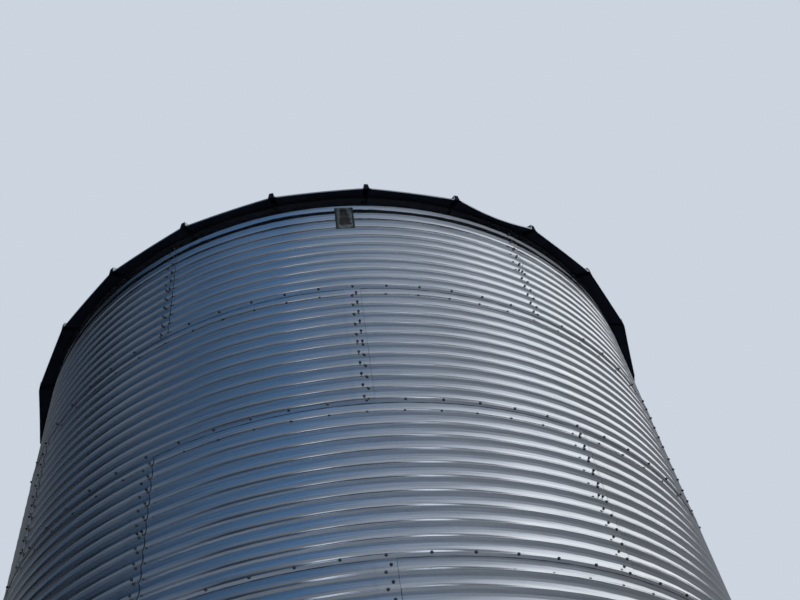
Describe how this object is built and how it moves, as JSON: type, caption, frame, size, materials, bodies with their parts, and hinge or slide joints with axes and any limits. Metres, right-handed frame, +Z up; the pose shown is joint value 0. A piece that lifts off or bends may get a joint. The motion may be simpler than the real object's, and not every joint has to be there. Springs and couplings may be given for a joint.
{
  "type": "grain silo",
  "caption": "Round grain storage silo of corrugated galvanised steel rings with a ribbed cone roof, capped fill opening and outside ladder.",
  "frame": {"origin": "On the ground at the centre of the round wall.", "axes": "+Z up. -Y is the side the picture shows. The ladder is on the far side, towards +Y."},
  "size_m": [5.6744, 5.7762, 9.5155],
  "materials": {
    "wall_steel": "galvanised, semi-gloss",
    "roof_steel": "galvanised, satin",
    "bracket_steel": "hot-dip galvanised, dull",
    "weathered_plate": "faded and worn, bare of text"
  },
  "bodies": {
    "root": {"wall_ring_1": "wall_steel", "wall_ring_2": "wall_steel", "wall_ring_3": "wall_steel", "wall_ring_4": "wall_steel", "wall_ring_5": "wall_steel", "wall_ring_6": "wall_steel", "wall_ring_7": "wall_steel", "base_angle": "bracket_steel", "wall_plate": "weathered_plate", "roof_panel_01": "roof_steel", "roof_panel_02": "roof_steel", "roof_panel_03": "roof_steel", "roof_panel_04": "roof_steel", "roof_panel_05": "roof_steel", "roof_panel_06": "roof_steel", "roof_panel_07": "roof_steel", "roof_panel_08": "roof_steel", "roof_panel_09": "roof_steel", "roof_panel_10": "roof_steel", "roof_panel_11": "roof_steel", "roof_panel_12": "roof_steel", "roof_panel_13": "roof_steel", "roof_panel_14": "roof_steel", "roof_panel_15": "roof_steel", "roof_panel_16": "roof_steel", "roof_panel_17": "roof_steel", "roof_panel_18": "roof_steel", "roof_panel_19": "roof_steel", "roof_panel_20": "roof_steel", "roof_panel_21": "roof_steel", "roof_panel_22": "roof_steel", "roof_panel_23": "roof_steel", "roof_panel_24": "roof_steel", "peak_collar": "roof_steel", "fill_cap": "roof_steel", "ladder_section_1": "bracket_steel", "ladder_section_2": "bracket_steel", "ladder_section_3": "bracket_steel", "ladder_bracket_1": "bracket_steel", "ladder_bracket_2": "bracket_steel", "ladder_bracket_3": "bracket_steel", "ladder_bracket_4": "bracket_steel", "ladder_bracket_5": "bracket_steel", "handrail_left": "bracket_steel", "handrail_right": "bracket_steel"}
  },
  "joints": []
}
